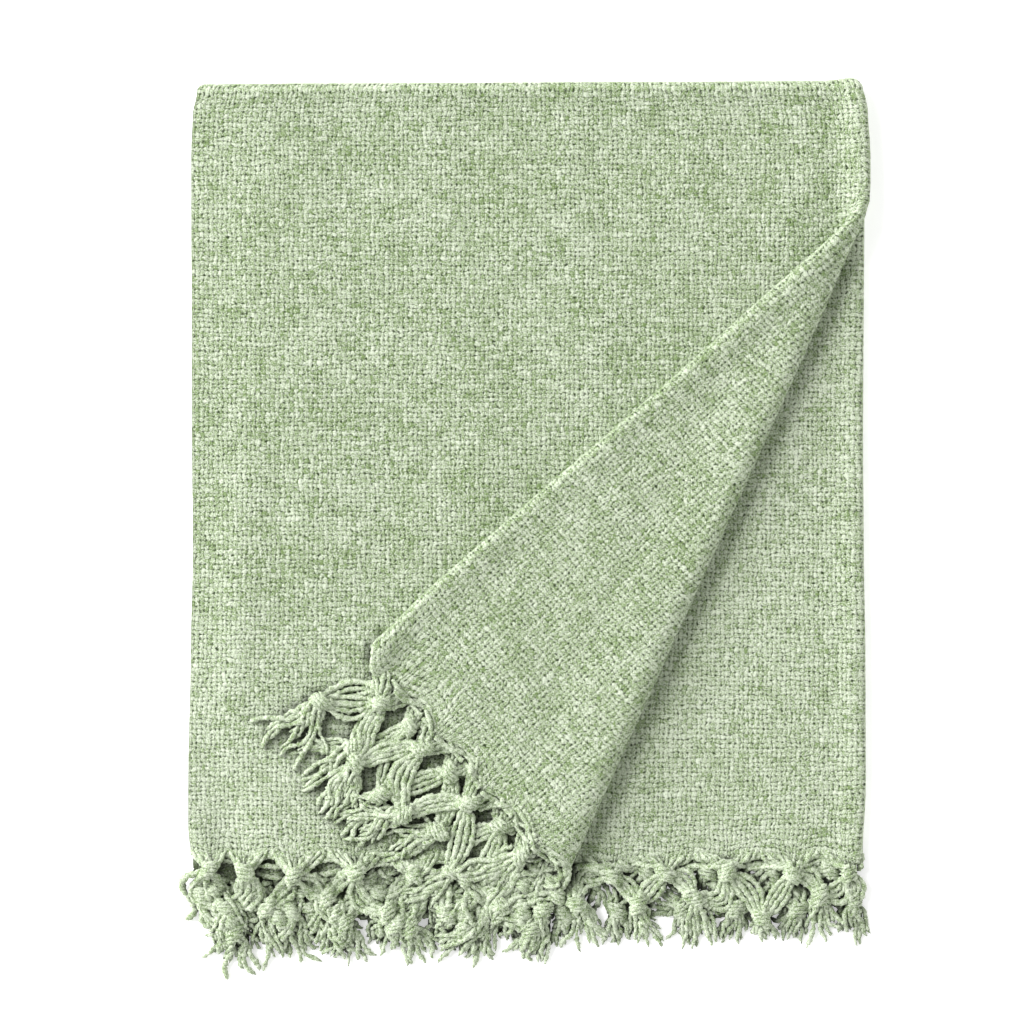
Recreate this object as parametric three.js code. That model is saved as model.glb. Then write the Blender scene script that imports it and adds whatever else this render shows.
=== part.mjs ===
// A fringed chenille throw, folded in four, with the corner of its upper layers turned back.
//
// Millimetres, +Z up. The throw lies on the plane z = 0, with its top fold towards +Y and its side fold
// towards +X. The cloth is folded in half across its width, which makes a pair of layers joined by the
// side fold, and that pair is folded in half across its length, over the top fold. The upper pair is then
// turned back over a slanting line, so that its side fold lies across the throw.
//
// Every point of the cloth and of its fringes is found from its place on the flat cloth: u is measured
// across it from the side fold, negative on the front layer of the pair and positive on the back one, and
// v is measured along it from the lower woven end to the upper one.

import * as THREE from "three";

// The cloth laid flat, between its selvedges and between its woven ends.
const CLOTH_WIDTH = 1270;
const CLOTH_LENGTH = 1450;
const CLOTH_THICKNESS = 4;
const LAYER_GAP = 1;

// The side fold: how much wider than flat layers it bulges, and how far from the fold that reaches.
const SIDE_BULGE = 0.8;
const SIDE_BULGE_REACH = 20;

// A turned-back pair rounds a soft roll, comes down behind it at a slope, and settles on what is below.
// The radii are those of the middle of the pair.
const TOP_ROLL_RADIUS = 6;
const CORNER_ROLL_RADIUS_AT_APEX = 8;
const CORNER_ROLL_RADIUS_AT_END = 11;
const ROLL_SLOPE = THREE.MathUtils.degToRad(12);
const SETTLE_RADIUS = 60;

// The slanting fold leaves the side fold this far below the top fold, at this angle to the length.
const APEX_DOWN = 112;
const CORNER_ANGLE = THREE.MathUtils.degToRad(24.3);

// The fringe: a band next to the cloth, where the yarns run to their first knots, and a tuft below each.
// On the flap it lies straight, and elsewhere it is rucked up and shorter. The distances are from the fold.
const FRINGE_LENGTH = 86;
const STRAIGHT_FRINGE_LENGTH = 124;
const STRAIGHT_WITHIN = 200;
const RUCKED_BEYOND = 265;
const FRINGE_BAND = 24;
const TUFTS = 22;
const TUFT_WIDTH = 40;
const TUFT_TIP_WIDTH = 28;
const TIP_UNEVENNESS = 5;
const PIECE_GAP = 0.3;

// How far the selvedges and the side fold stand out from straight, by distance down from the top fold.
const EDGES = [
  { down: 0, selvedge: -9, fold: -9 },
  { down: 8, selvedge: -4, fold: -6 },
  { down: 28, selvedge: 0, fold: -2 },
  { down: 65, selvedge: 1.5, fold: 1 },
  { down: 340, selvedge: 1, fold: 0 },
  { down: 430, selvedge: 0, fold: 0 },
  { down: 540, selvedge: 2.5, fold: 1 },
  { down: 725, selvedge: 2, fold: 0 },
];
const LOWER_FOLD_INSET = 4;

// How far the selvedge end of each layer's woven end lies beyond the straight one. The end slants evenly
// from the side fold, and the slant fades out over the reach given here.
const END_SLANT = { lowerFront: 8, lowerBack: 14, upperBack: 20, upperFront: 0 };
const END_SLANT_REACH = 160;

// How far each layer's selvedge stays back behind the line of the edge.
const SELVEDGE_STAGGER = { lowerFront: 1, lowerBack: 4, upperBack: 2.5, upperFront: 0 };

// Soft swells and hollows of the stack, as the share by which its height grows there. Each is centred
// `right` of the side fold and `down` from the top fold, and turned from the length by `turn` degrees.
const SWELLS = [
  { right: -634, down: 350, across: 30, along: 420, turn: 0, share: -0.16 },
  { right: -572, down: 440, across: 18, along: 170, turn: 0, share: 0.1 },
  { right: -612, down: 700, across: 18, along: 32, turn: 0, share: -0.2 },
  { right: -30, down: 90, across: 60, along: 45, turn: 24, share: 0.14 },
  { right: -490, down: 495, across: 14, along: 75, turn: -48, share: 0.08 },
];

// Beyond the woven ends the fringes sink towards the surface by this share, over this distance.
const FRINGE_SINK = 0.3;
const FRINGE_SINK_REACH = 70;

// Sizes that follow from those above.
const HALF_THICKNESS = CLOTH_THICKNESS / 2;
const HALF_PITCH = (CLOTH_THICKNESS + LAYER_GAP) / 2;
const PAIR_PITCH = 4 * HALF_PITCH;
const SIDE_FOLD_RADIUS = HALF_PITCH + SIDE_BULGE;
const SIDE_FOLD_ARC = (SIDE_FOLD_RADIUS * Math.PI) / 2;
const PAIR_WIDTH = CLOTH_WIDTH / 2 - SIDE_FOLD_ARC;
const FOLDED_LENGTH = CLOTH_LENGTH / 2;
const APEX_X = SIDE_FOLD_RADIUS + HALF_THICKNESS;
const ACROSS = new THREE.Vector2(Math.cos(CORNER_ANGLE), -Math.sin(CORNER_ANGLE));
const ALONG = new THREE.Vector2(-Math.sin(CORNER_ANGLE), -Math.cos(CORNER_ANGLE));
const CORNER_LINE_LENGTH = (FOLDED_LENGTH - APEX_DOWN) / Math.cos(CORNER_ANGLE);

// How far an edge stands out from straight, `down` from the top fold, without a kink at the table's rows.
function edgeOut(edge, down) {
  const next = EDGES.findIndex((row) => row.down > down);
  if (next < 0) return EDGES.at(-1)[edge];
  const from = EDGES[next - 1];
  const to = EDGES[next];
  return THREE.MathUtils.lerp(from[edge], to[edge], THREE.MathUtils.smoothstep(down, from.down, to.down));
}

// Half the distance between the middles of a pair's two layers, at a distance `inside` the side fold.
function halfSpread(inside) {
  return HALF_PITCH + SIDE_BULGE * Math.exp(-((inside / SIDE_BULGE_REACH) ** 2));
}

// The lengths of a turned-back stretch. It starts `start` before the fold line, and ends level at `end`.
function rollShape(radius, rise) {
  const round = radius * (Math.PI + ROLL_SLOPE);
  const settle = SETTLE_RADIUS * ROLL_SLOPE;
  const settleDrop = SETTLE_RADIUS * (1 - Math.cos(ROLL_SLOPE));
  const top = radius * (1 + Math.cos(ROLL_SLOPE));
  const slope = (top - settleDrop - rise) / Math.sin(ROLL_SLOPE);
  const end = -(radius + SETTLE_RADIUS) * Math.sin(ROLL_SLOPE) - slope * Math.cos(ROLL_SLOPE);
  const start = (round + slope + settle + end) / 2;
  return { round, slope, settle, top, start, end };
}

// Where a point of a turned-back sheet lies, when it was `past` the fold line while the sheet was flat.
function turnBack(past, radius, rise) {
  const { round, slope, settle, top, start, end } = rollShape(radius, rise);
  const run = past + start;
  if (run <= 0) return { past, up: 0 };
  if (run <= round) {
    const angle = run / radius;
    return { past: radius * Math.sin(angle) - start, up: radius * (1 - Math.cos(angle)) };
  }
  if (run <= round + slope) {
    const down = run - round;
    return {
      past: -radius * Math.sin(ROLL_SLOPE) - down * Math.cos(ROLL_SLOPE) - start,
      up: top - down * Math.sin(ROLL_SLOPE),
    };
  }
  if (run <= round + slope + settle) {
    const angle = (round + slope + settle - run) / SETTLE_RADIUS;
    return {
      past: end + SETTLE_RADIUS * Math.sin(angle) - start,
      up: rise + SETTLE_RADIUS * (1 - Math.cos(angle)),
    };
  }
  return { past: -past, up: rise };
}

// The distances past a fold line at which a section of a turned-back sheet needs a point. The first is a
// little before the sheet starts to rise.
const ROLL_STEPS = 7;
const ROLL_LEAD = 5;
function rollStations(radius, rise) {
  const { round, slope, settle, start } = rollShape(radius, rise);
  const stations = [-start - ROLL_LEAD];
  for (let step = 1; step <= ROLL_STEPS; step++) stations.push((round * step) / ROLL_STEPS - start);
  stations.push(round + slope - start);
  stations.push(round + slope + settle - start);
  return stations;
}

function cornerRollRadius(along) {
  const share = THREE.MathUtils.clamp(along / CORNER_LINE_LENGTH, 0, 1);
  return THREE.MathUtils.lerp(CORNER_ROLL_RADIUS_AT_APEX, CORNER_ROLL_RADIUS_AT_END, share);
}

// The middle of the pair of layers, `inside` the side fold and `v` along the cloth.
function pairMiddle(inside, v) {
  const spread = halfSpread(inside);
  const extraSpread = spread - HALF_PITCH;
  const upper = v > FOLDED_LENGTH;
  const down = Math.abs(v - FOLDED_LENGTH);
  const share = inside / PAIR_WIDTH;
  const foldOut = edgeOut("fold", down) - (upper ? 0 : LOWER_FOLD_INSET);
  const x = -inside + foldOut * (1 - share) - edgeOut("selvedge", down) * share;
  const top = turnBack(v - FOLDED_LENGTH, TOP_ROLL_RADIUS, PAIR_PITCH + 2 * extraSpread);
  const middle = new THREE.Vector3(x, top.past, spread + HALF_THICKNESS + top.up);
  if (!upper) return middle;
  const fromApex = new THREE.Vector2(x - APEX_X, middle.y + APEX_DOWN);
  const past = fromApex.dot(ACROSS);
  const radius = cornerRollRadius(fromApex.dot(ALONG));
  const corner = turnBack(past, radius, PAIR_PITCH - 2 * extraSpread);
  middle.x += (corner.past - past) * ACROSS.x;
  middle.y += (corner.past - past) * ACROSS.y;
  middle.z += corner.up;
  return middle;
}

// How much higher the stack stands at a place, as a share of its plain height.
function loft(x, y) {
  let share = 1;
  for (const swell of SWELLS) {
    const turn = THREE.MathUtils.degToRad(swell.turn);
    const offset = new THREE.Vector2(x - swell.right, y + swell.down).rotateAround(new THREE.Vector2(), turn);
    share += swell.share * Math.exp(-((offset.x / swell.across) ** 2) - (offset.y / swell.along) ** 2);
  }
  const beyondEnd = THREE.MathUtils.smoothstep(-y - FOLDED_LENGTH, 0, FRINGE_SINK_REACH);
  return share - FRINGE_SINK * beyondEnd;
}

// A point of the cloth or its fringe. `face` is its height above the middle of its own layer, positive
// on the outside of the side fold.
const PROBE = 0.05;
function layerPoint(u, v, face) {
  const roundTheFold = (THREE.MathUtils.clamp(u / SIDE_FOLD_ARC, -1, 1) * Math.PI) / 2;
  const upper = v > FOLDED_LENGTH;
  const layer = (upper ? "upper" : "lower") + (u < 0 ? "Front" : "Back");
  const inward = Math.max(0, Math.abs(u) - SIDE_FOLD_ARC);
  const inside = inward * (1 - SELVEDGE_STAGGER[layer] / PAIR_WIDTH);
  const fromTopFold = Math.abs(v - FOLDED_LENGTH);
  const toEnd = THREE.MathUtils.smoothstep(fromTopFold, FOLDED_LENGTH - END_SLANT_REACH, FOLDED_LENGTH);
  const slant = (toEnd * END_SLANT[layer] * inward) / PAIR_WIDTH;
  const along = v + (upper ? slant : -slant);

  const middle = pairMiddle(inside, along);
  const outward = pairMiddle(inside - PROBE, along).sub(pairMiddle(inside + PROBE, along)).normalize();
  const onward = pairMiddle(inside, along + PROBE).sub(pairMiddle(inside, along - PROBE)).normalize();
  const frontward = onward.cross(outward).normalize();
  const reach = halfSpread(inside) + face;
  const point = middle
    .addScaledVector(frontward, -Math.sin(roundTheFold) * reach)
    .addScaledVector(outward, Math.cos(roundTheFold) * reach);
  point.z *= loft(point.x, point.y);
  return point;
}

// Adds the faces of a stretch of sheet to `corners`. rows[r][c] holds the flat place { u, v } of a corner.
// Its four edges get walls, but where isOpen(r, c) is true a first or last row joins another stretch.
function addSheet(corners, rows, isOpen) {
  const outer = rows.map((row) => row.map(({ u, v }) => layerPoint(u, v, HALF_THICKNESS)));
  const inner = rows.map((row) => row.map(({ u, v }) => layerPoint(u, v, -HALF_THICKNESS)));
  const rising = rows.at(-1)[0].v > rows[0][0].v;
  const addQuad = (a, b, c, d) => {
    if (rising) corners.push(a, b, c, a, c, d);
    else corners.push(a, c, b, a, d, c);
  };
  const lastRow = rows.length - 1;
  const lastColumn = rows[0].length - 1;
  for (let r = 0; r < lastRow; r++) {
    for (let c = 0; c < lastColumn; c++) {
      addQuad(outer[r][c], outer[r + 1][c], outer[r + 1][c + 1], outer[r][c + 1]);
      addQuad(inner[r][c], inner[r][c + 1], inner[r + 1][c + 1], inner[r + 1][c]);
    }
    addQuad(outer[r + 1][0], outer[r][0], inner[r][0], inner[r + 1][0]);
    addQuad(outer[r][lastColumn], outer[r + 1][lastColumn], inner[r + 1][lastColumn], inner[r][lastColumn]);
  }
  for (let c = 0; c < lastColumn; c++) {
    if (!isOpen(0, c)) addQuad(outer[0][c], outer[0][c + 1], inner[0][c + 1], inner[0][c]);
    if (isOpen(lastRow, c)) continue;
    addQuad(outer[lastRow][c + 1], outer[lastRow][c], inner[lastRow][c], inner[lastRow][c + 1]);
  }
}

// Both layers' places across a section, and three more round the side fold, from distances inside it.
function acrossPair(insides) {
  const front = insides.map((inside) => -inside - SIDE_FOLD_ARC);
  const back = insides.map((inside) => inside + SIDE_FOLD_ARC).reverse();
  return [...front, -SIDE_FOLD_ARC / 2, 0, SIDE_FOLD_ARC / 2, ...back];
}

// The cloth's sections. Each has the same number of points across it, and they crowd where it rounds the
// slanting fold, or beside the side fold where the slanting fold has not reached it yet.
const LOWER_SECTIONS = [0, 0.25, 0.5, 0.75, 0.93];
const APEX_SECTIONS_DOWN = [50, 78, 96, 108, 119, 130, 142, 156, 174, 200];
const FLAP_SECTIONS_DOWN = [245, 310, 400, 490, 580, 660, 725];
const LEFT_SHARES = [1, 0.72, 0.44, 0.16];
const FLAP_SHARES = [0.68, 0.36, 0.1, 0.03, 0];
const LEAST_STEP = 3;

function clothInsides(v) {
  const down = Math.max(0, v - FOLDED_LENGTH);
  const lineInside = (down - APEX_DOWN) * Math.tan(CORNER_ANGLE) - APEX_X;
  const radius = cornerRollRadius((down - APEX_DOWN) / Math.cos(CORNER_ANGLE));
  const roll = rollStations(radius, PAIR_PITCH).map((past) => lineInside - past / ACROSS.x);
  const left = LEFT_SHARES.map((share) => THREE.MathUtils.lerp(roll[0], PAIR_WIDTH, share));
  const flap = FLAP_SHARES.map((share) => roll.at(-1) * share);
  const insides = [...left, ...roll, ...flap];
  for (let i = insides.length - 2; i > 0; i--) {
    insides[i] = Math.max(insides[i], insides[i + 1] + LEAST_STEP);
  }
  return insides;
}

function throwCloth() {
  const topFold = rollStations(TOP_ROLL_RADIUS, PAIR_PITCH);
  const sections = [
    ...LOWER_SECTIONS.map((share) => share * FOLDED_LENGTH),
    ...topFold.map((past) => past + FOLDED_LENGTH),
    ...[...APEX_SECTIONS_DOWN, ...FLAP_SECTIONS_DOWN].map((down) => down + FOLDED_LENGTH),
  ];
  const corners = [];
  addSheet(corners, sections.map((v) => acrossPair(clothInsides(v)).map((u) => ({ u, v }))), () => false);
  return new THREE.BufferGeometry().setFromPoints(corners);
}

// How far the fringe reaches beyond its woven end. Only that of the upper end is partly on the flap.
function fringeLength(u, onward) {
  if (onward < 0) return FRINGE_LENGTH;
  const rucked = THREE.MathUtils.smoothstep(Math.abs(u), STRAIGHT_WITHIN, RUCKED_BEYOND);
  return THREE.MathUtils.lerp(STRAIGHT_FRINGE_LENGTH, FRINGE_LENGTH, rucked);
}

// The comb of one woven end: its band, and a tuft for each knot of the real fringe. `onward` is 1 beyond
// the upper end and -1 beyond the lower one. Where the pair rounds the slanting fold, a comb has more
// points across its band and along its tufts.
const ROLL_ZONE_STEP = 6;
const ROLL_ZONE_BAND_ROWS = 3;
const ROLL_ZONE_TUFT_ROWS = 8;
const PLAIN_TUFT_ROWS = 3;

function evenSteps(from, to, count) {
  return Array.from({ length: count }, (_, i) => THREE.MathUtils.lerp(from, to, i / (count - 1)));
}

function fringeComb(end, onward, hasRoll) {
  const tuftPitch = CLOTH_WIDTH / TUFTS;
  const tuftMiddles = Array.from({ length: TUFTS }, (_, i) => (i + 0.5) * tuftPitch - CLOTH_WIDTH / 2);
  const across = [-CLOTH_WIDTH / 2, CLOTH_WIDTH / 2, ...acrossPair([])];
  for (const middle of tuftMiddles) across.push(middle - TUFT_WIDTH / 2, middle + TUFT_WIDTH / 2);
  if (hasRoll) {
    const clothEnd = clothInsides(CLOTH_LENGTH).slice(LEFT_SHARES.length, -FLAP_SHARES.length);
    const rising = clothInsides(CLOTH_LENGTH + FRINGE_LENGTH)[LEFT_SHARES.length];
    const steps = Math.ceil((rising - clothEnd[0]) / ROLL_ZONE_STEP);
    const pastClothEnd = evenSteps(clothEnd[0] + ROLL_ZONE_STEP, rising, steps);
    for (const u of [...clothEnd, ...pastClothEnd].map((inside) => inside + SIDE_FOLD_ARC)) {
      if (across.every((other) => Math.abs(Math.abs(other) - u) > 1)) across.push(-u, u);
    }
  }
  across.sort((a, b) => a - b);

  const corners = [];
  const nearestTuft = (u) => tuftMiddles.findIndex((middle) => Math.abs(u - middle) < TUFT_WIDTH / 2);
  const hasTuft = (c) => nearestTuft((across[c] + across[c + 1]) / 2) >= 0;
  const bandRows = evenSteps(PIECE_GAP, FRINGE_BAND, hasRoll ? ROLL_ZONE_BAND_ROWS : 2);
  const band = bandRows.map((distance) => across.map((u) => ({ u, v: end + onward * distance })));
  addSheet(corners, band, (r, c) => r > 0 && hasTuft(c));
  for (const middle of tuftMiddles) {
    const root = across.filter((u) => Math.abs(u - middle) < TUFT_WIDTH / 2 + PIECE_GAP);
    const rowCount = root.length > 2 ? ROLL_ZONE_TUFT_ROWS : PLAIN_TUFT_ROWS;
    const tip = fringeLength(middle, onward) + TIP_UNEVENNESS * Math.sin(middle);
    const tuft = evenSteps(FRINGE_BAND, tip, rowCount).map((distance) => {
      const share = THREE.MathUtils.inverseLerp(FRINGE_BAND, tip, distance);
      const taper = THREE.MathUtils.lerp(1, TUFT_TIP_WIDTH / TUFT_WIDTH, share);
      return root.map((u) => ({ u: middle + (u - middle) * taper, v: end + onward * distance }));
    });
    addSheet(corners, tuft, (r) => r === 0);
  }
  return new THREE.BufferGeometry().setFromPoints(corners);
}

function named(name, geometry, colour) {
  const material = new THREE.MeshStandardMaterial({ color: colour, roughness: 0.95, metalness: 0 });
  const mesh = new THREE.Mesh(geometry, material);
  mesh.name = name;
  return mesh;
}

const SAGE = 0xb7c5a5;
const PALE_SAGE = 0xbecbad;

const folded = new THREE.Group();
folded.add(named("throw_cloth", throwCloth(), SAGE));
folded.add(named("fringe_upper_end", fringeComb(CLOTH_LENGTH, 1, true), PALE_SAGE));
folded.add(named("fringe_lower_end", fringeComb(0, -1, false), PALE_SAGE));

// The frame's origin is at the middle of the underside.
const box = new THREE.Box3().setFromObject(folded);
const middleOfBox = box.getCenter(new THREE.Vector3());
folded.position.set(-middleOfBox.x, -middleOfBox.y, -box.min.z);

const throwBlanket = new THREE.Group();
throwBlanket.add(folded);
export default throwBlanket;
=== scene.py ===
import math

import bmesh
import bpy
import numpy as np
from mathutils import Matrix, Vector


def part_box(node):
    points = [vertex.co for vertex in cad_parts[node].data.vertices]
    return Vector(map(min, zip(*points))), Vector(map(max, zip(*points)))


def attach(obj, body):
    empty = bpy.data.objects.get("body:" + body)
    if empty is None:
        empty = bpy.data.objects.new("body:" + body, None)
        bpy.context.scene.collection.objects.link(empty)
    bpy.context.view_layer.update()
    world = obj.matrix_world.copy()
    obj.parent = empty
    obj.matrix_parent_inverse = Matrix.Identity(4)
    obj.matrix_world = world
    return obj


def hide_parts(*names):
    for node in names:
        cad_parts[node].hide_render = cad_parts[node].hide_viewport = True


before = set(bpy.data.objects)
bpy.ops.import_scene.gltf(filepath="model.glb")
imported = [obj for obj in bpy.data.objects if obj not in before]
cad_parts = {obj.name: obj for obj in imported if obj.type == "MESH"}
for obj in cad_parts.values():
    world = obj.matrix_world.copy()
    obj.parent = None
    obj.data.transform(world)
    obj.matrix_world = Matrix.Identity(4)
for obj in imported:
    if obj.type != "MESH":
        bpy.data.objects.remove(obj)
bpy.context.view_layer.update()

# The cloth: plain-woven chenille, 127 by 145 cm. It is folded in half across its width, then across its
# length, and the right-hand side of the upper pair of layers is turned back over a slanting line. Every
# point is found from its place on the flat cloth.
CLOTH_WIDTH = 1.270
CLOTH_LENGTH = 1.450
CLOTH_THICK = 0.004
HALF_PITCH = 0.0025
PAIR_PITCH = 4 * HALF_PITCH
SIDE_BULGE = 0.0020
SIDE_BULGE_REACH = 0.016
SIDE_FOLD_RADIUS = HALF_PITCH + SIDE_BULGE
SIDE_FOLD_ARC = SIDE_FOLD_RADIUS * math.pi / 2
PAIR_WIDTH = CLOTH_WIDTH / 2 - SIDE_FOLD_ARC
FOLDED_LENGTH = CLOTH_LENGTH / 2

TOP_ROLL_RADIUS = 0.006
ROLL_AT_APEX = 0.008
ROLL_AT_END = 0.011
ROLL_SLOPE = math.radians(12)
SETTLE_RADIUS = 0.060
APEX_DOWN = 0.112
APEX_X = SIDE_FOLD_RADIUS + CLOTH_THICK / 2
CORNER_ANGLE = math.radians(24.3)
ACROSS_CORNER = np.array([math.cos(CORNER_ANGLE), -math.sin(CORNER_ANGLE)])
ALONG_CORNER = np.array([-math.sin(CORNER_ANGLE), -math.cos(CORNER_ANGLE)])
CORNER_LINE_LENGTH = (FOLDED_LENGTH - APEX_DOWN) / math.cos(CORNER_ANGLE)
# The slanting fold isn't round: its crown lies back from its edge, which is lower and further out.
CROWN_BACK = 0.045
EDGE_SAG = 0.26
EDGE_SPREAD = 0.004
EDGE_SPREAD_FROM = 0.120

# How far the selvedges and the side fold stand out, by distance down from the top fold.
EDGE_DOWN = [0, 0.008, 0.028, 0.065, 0.340, 0.430, 0.540, 0.660, 0.725]
SELVEDGE_OUT = [-0.008, -0.003, 0.001, 0.0025, 0.002, 0.001, 0.003, 0.0055, 0.004]
FOLD_OUT = [-0.009, -0.005, -0.001, 0.0015, 0, 0.0005, 0.002, 0.0025, -0.0005]
LOWER_FOLD_INSET = 0.0035
# The top fold slants up a little towards the side fold.
TOP_LIFT_LEFT, TOP_LIFT_RIGHT = 0.0015, 0.0045
TOP_LIFT_REACH = 0.140

# How far each layer's woven end slants out towards its selvedge, and how far that selvedge stays back: for
# the lower front, lower back, upper front and upper back layer.
END_SLANT = np.array([0.008, 0.014, 0, 0.020])
END_SLANT_REACH = 0.160
SELVEDGE_STAGGER = np.array([0.001, 0.004, 0, 0.0025])

# Soft swells and hollows: right of the side fold, down from the top fold, half sizes across and along, turn
# in degrees, and the share by which the height grows.
SWELLS = [
    (-0.634, 0.330, 0.052, 0.440, 0, -0.38),
    (-0.585, 0.470, 0.020, 0.150, 4, 0.15),
    (-0.545, 0.430, 0.012, 0.090, -3, -0.07),
    (-0.596, 0.230, 0.016, 0.060, 20, 0.06),
    (-0.590, 0.440, 0.055, 0.008, -6, 0.045),
    (-0.597, 0.686, 0.019, 0.045, -23, -0.24),
    (-0.623, 0.702, 0.010, 0.036, -23, 0.18),
    (-0.045, 0.075, 0.050, 0.060, 24, 0.13),
    (-0.100, 0.030, 0.030, 0.014, -35, -0.09),
    (-0.490, 0.495, 0.014, 0.075, -48, 0.10),
    (-0.440, 0.560, 0.012, 0.050, -40, 0.06),
    (-0.452, 0.538, 0.007, 0.030, 35, 0.10),
    (-0.438, 0.548, 0.006, 0.026, 35, -0.09),
    (-0.022, 0.560, 0.060, 0.190, 6, 0.30),
    (-0.215, 0.290, 0.040, 0.022, 35, -0.05),
]
# Slight waves all over, of random turns and lengths.
WAVES = 16
WAVE_HEIGHT = 0.007
WAVE_LENGTHS = (0.055, 0.170)
wave_chance = np.random.default_rng(5)
wave_turns = wave_chance.uniform(0, math.pi, WAVES)
wave_sizes = 2 * math.pi / wave_chance.uniform(*WAVE_LENGTHS, WAVES)
wave_starts = wave_chance.uniform(0, 2 * math.pi, WAVES)
# The fringe lies lower than the stack.
FRINGE_SINK = 0.3
FRINGE_SINK_REACH = 0.070

# Each end's first knots, across from the side fold and out from the woven end, in millimetres. The cloth is
# drawn out and gathered towards them.
LOWER_KNOTS = [
    (-612, 15), (-552, 13), (-487, 16), (-427, 14), (-370, 15), (-313, 13), (-256, 14), (-204, 12),
    (-146, 14), (-86, 13), (-31, 14), (14, 17), (68, 15), (130, 12), (189, 12), (239, 14), (297, 16),
    (353, 14), (409, 17), (468, 13), (526, 16), (583, 14), (620, 15),
]
UPPER_KNOTS = [
    (-615, 10), (-582, 13), (-536, 16), (-478, 13), (-424, 16), (-374, 19), (-324, 25), (-268, 30),
    (-207, 33), (-139, 34), (-82, 34), (-38, 33), (47, 38), (105, 36), (172, 35), (242, 27), (293, 28),
    (352, 18), (405, 15), (463, 17), (521, 14), (578, 16), (622, 13),
]
KNOTS = [np.array(rows) / 1000 for rows in (LOWER_KNOTS, UPPER_KNOTS)]
DRAWN_DEPTH = 0.028
DRAWN_WIDTH = 0.016
GATHER = 0.4
# Its edge at a knot and between two: a share of the way out to the knots, less a little.
CREST_SHARE, CREST_LESS = 0.55, 0.003
TROUGH_SHARE, TROUGH_LESS = 0.25, 0.005
# Away from the side fold, the lower front layer's edge is further out between its knots.
LOWER_FRONT_LESS = 0.006
LESS_FROM, LESS_FULLY_FROM = 0.01, 0.04
# The flap's corner is drawn out further, at this place.
CORNER_AT = 0.021
CORNER_OUT = 0.019
CORNER_WIDTH = 0.014
CORNER_DEPTH = 0.060


def between(value, low, high):
    return np.clip((value - low) / (high - low), 0, 1)


def smooth_step(value, low, high):
    share = between(value, low, high)
    return share * share * (3 - 2 * share)


def edge_out(outs, down):
    """Reads an edge's column at each distance down, without kinks."""
    outs, rows = np.array(outs), np.array(EDGE_DOWN)
    row = np.clip(np.searchsorted(rows, down, side="right") - 1, 0, len(rows) - 2)
    share = smooth_step(down, rows[row], rows[row + 1])
    return outs[row] + (outs[row + 1] - outs[row]) * share


def roll_shape(radius, rise):
    """The lengths of a turned-back stretch's parts, and where it starts and ends."""
    round_part = radius * (math.pi + ROLL_SLOPE)
    settle = SETTLE_RADIUS * ROLL_SLOPE
    top = radius * (1 + math.cos(ROLL_SLOPE))
    slope = (top - SETTLE_RADIUS * (1 - math.cos(ROLL_SLOPE)) - rise) / math.sin(ROLL_SLOPE)
    end = -(radius + SETTLE_RADIUS) * math.sin(ROLL_SLOPE) - slope * math.cos(ROLL_SLOPE)
    start = (round_part + slope + settle + end) / 2
    return round_part, slope, settle, top, start, end


def turn_back(past, radius, rise):
    """Where a point lies that was `past` the fold line before it was turned back."""
    round_part, slope, settle, top, start, end = roll_shape(radius, rise)
    run = past + start
    turned = run / radius
    down = run - round_part
    left = (round_part + slope + settle - run) / SETTLE_RADIUS
    stretches = [run <= 0, run <= round_part, down <= slope, left >= 0]
    along = [
        past,
        radius * np.sin(turned) - start,
        -radius * math.sin(ROLL_SLOPE) - down * math.cos(ROLL_SLOPE) - start,
        end + SETTLE_RADIUS * np.sin(left) - start,
    ]
    up = [
        0 * past,
        radius * (1 - np.cos(turned)),
        top - down * math.sin(ROLL_SLOPE),
        rise + SETTLE_RADIUS * (1 - np.cos(left)),
    ]
    return np.select(stretches, along, -past), np.select(stretches, up, rise)


def corner_radius(along):
    return ROLL_AT_APEX + between(along, 0, CORNER_LINE_LENGTH) * (ROLL_AT_END - ROLL_AT_APEX)


def half_spread(inside):
    return HALF_PITCH + SIDE_BULGE * np.exp(-((inside / SIDE_BULGE_REACH) ** 2))


def pair_middle(inside, v):
    """The middle of the pair of layers, `inside` the side fold and `v` along."""
    spread = half_spread(inside)
    extra = spread - HALF_PITCH
    down = np.abs(v - FOLDED_LENGTH)
    share = inside / PAIR_WIDTH
    upper = v > FOLDED_LENGTH
    fold_out = edge_out(FOLD_OUT, down) - np.where(upper, 0, LOWER_FOLD_INSET)
    x = -inside + fold_out * (1 - share) - edge_out(SELVEDGE_OUT, down) * share
    y, top_up = turn_back(v - FOLDED_LENGTH, TOP_ROLL_RADIUS, PAIR_PITCH + 2 * extra)
    from_apex = np.stack([x - APEX_X, y + APEX_DOWN], axis=-1)
    past = from_apex @ ACROSS_CORNER
    along = from_apex @ ALONG_CORNER
    radius = corner_radius(along)
    turned, up = turn_back(past, radius, PAIR_PITCH - 2 * extra)
    edge = radius - roll_shape(radius, PAIR_PITCH - 2 * extra)[4]
    near_edge = smooth_step(turned, edge - CROWN_BACK, edge)
    turned = turned + EDGE_SPREAD * near_edge * smooth_step(along, 0, EDGE_SPREAD_FROM)
    up = up * (1 - EDGE_SAG * near_edge)
    shift = np.where(upper, turned - past, 0)
    z = spread + CLOTH_THICK / 2 + top_up + np.where(upper, up, 0)
    return np.stack([x + shift * ACROSS_CORNER[0], y + shift * ACROSS_CORNER[1], z], axis=-1)


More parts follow.
